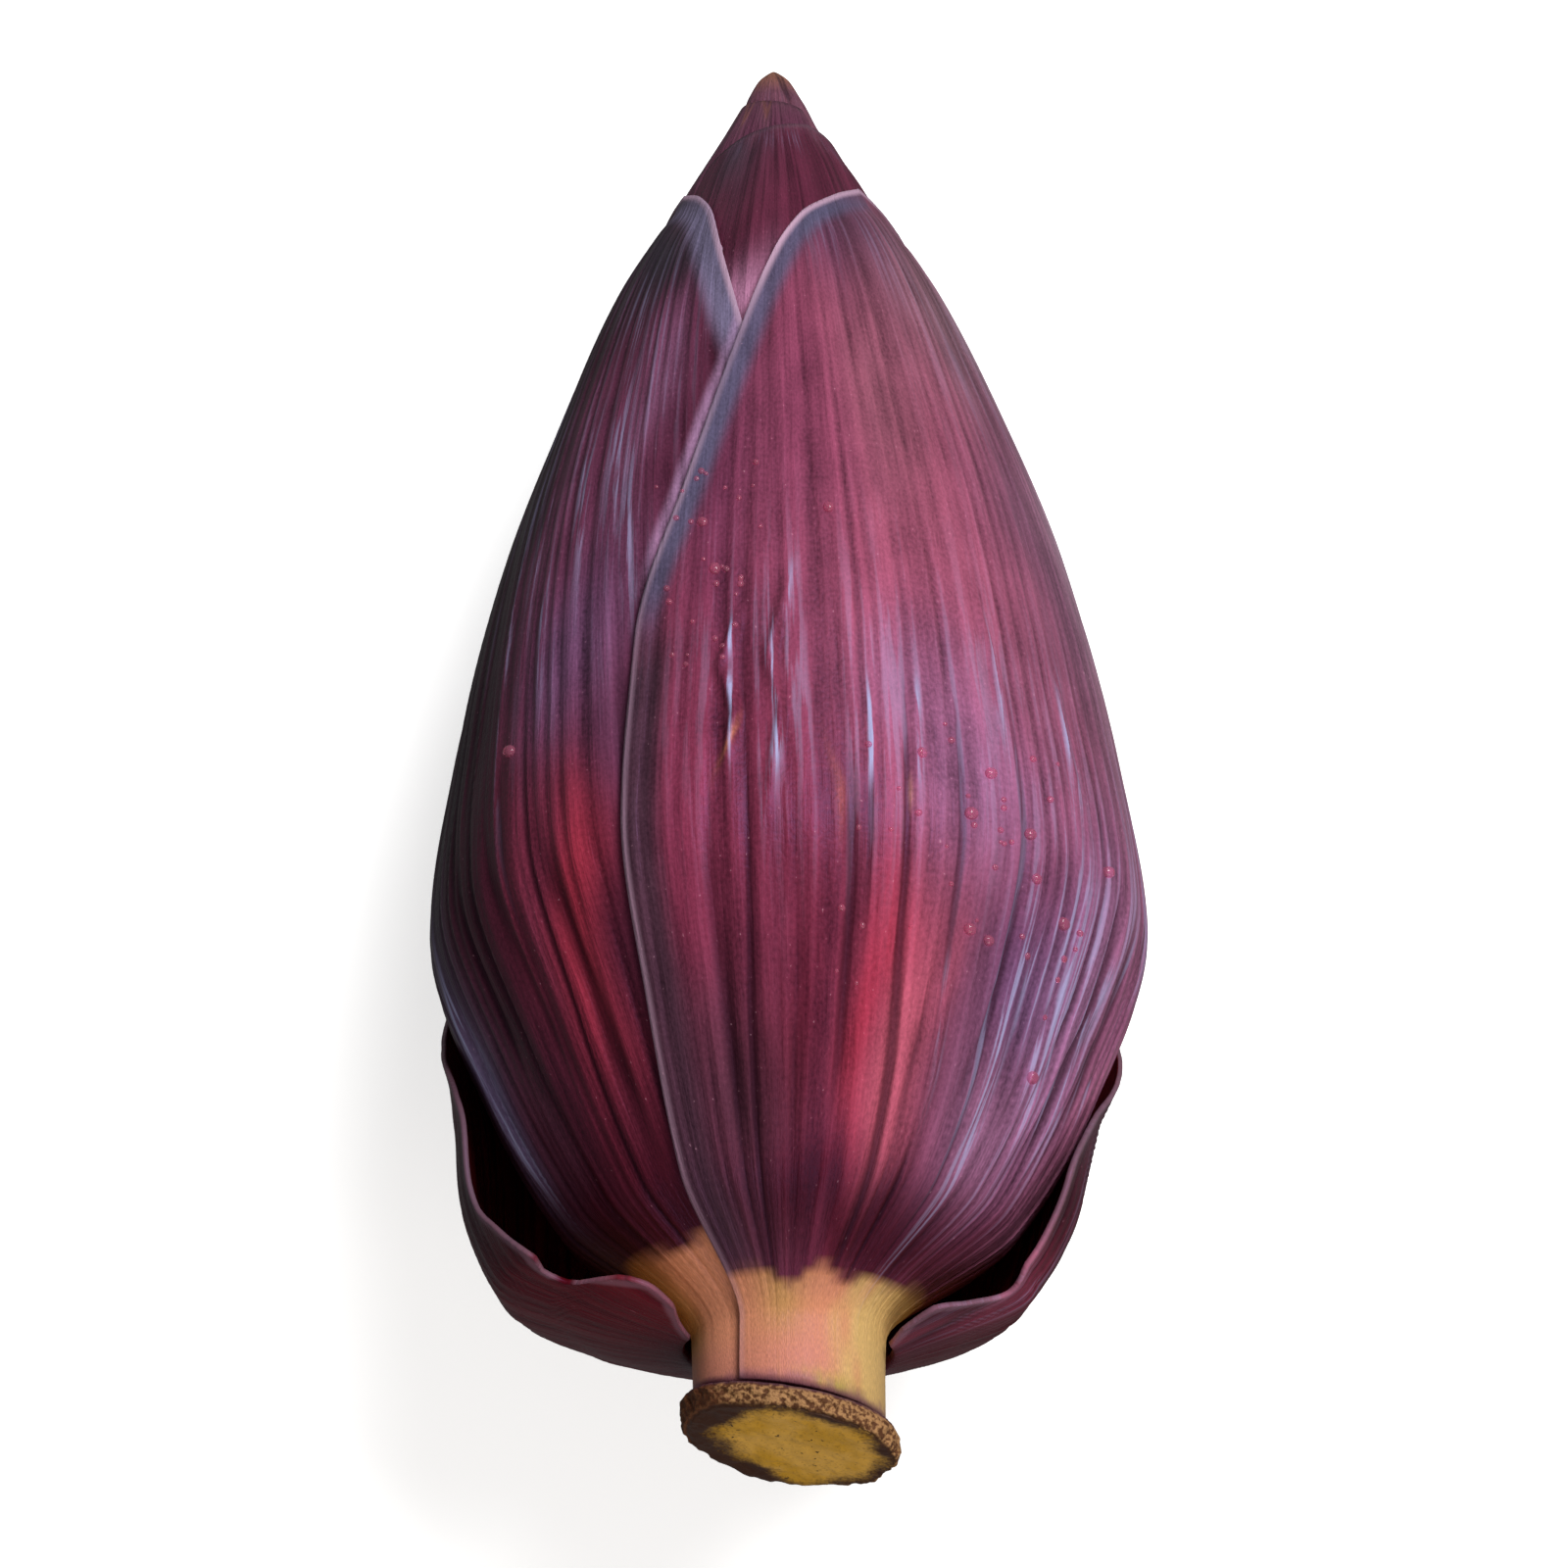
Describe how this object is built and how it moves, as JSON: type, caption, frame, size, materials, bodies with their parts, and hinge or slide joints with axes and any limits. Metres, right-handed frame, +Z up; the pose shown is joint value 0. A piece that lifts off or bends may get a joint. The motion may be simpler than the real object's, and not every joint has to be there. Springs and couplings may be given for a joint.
{
  "type": "banana blossom",
  "caption": "Cut banana blossom lying on its back: a pointed purple bud of overlapping ribbed bracts, a rear bract spread as a cup at the neck, and a short cut stalk.",
  "frame": {"origin": "centre of the bounding box in plan, on the surface it lies on", "axes": "+Y from the cut stalk towards the tip of the bud, +Z up, +X to the right when looking from the stalk"},
  "size_m": [0.119, 0.2626, 0.1131],
  "materials": {
    "cut_stalk": "olive-yellow fibrous cut face with a dark brown rim inside a rough gold-brown scar ring",
    "outer_bract": "waxy maroon-purple skin with lengthwise ribs, blue-grey bloom, pale margins and a peach-yellow base",
    "inner_bract": "smooth satin maroon skin with pale rolled margins",
    "bud_tip": "smooth satin pink-brown tip that ends in an orange point"
  },
  "bodies": {
    "root": {"peduncle": "cut_stalk", "rear_bract": "outer_bract", "front_bract": "outer_bract", "left_bract": "outer_bract", "back_bract": "outer_bract", "inner_front_bract": "inner_bract", "inner_left_bract": "inner_bract", "bud_tip": "bud_tip"}
  },
  "joints": []
}
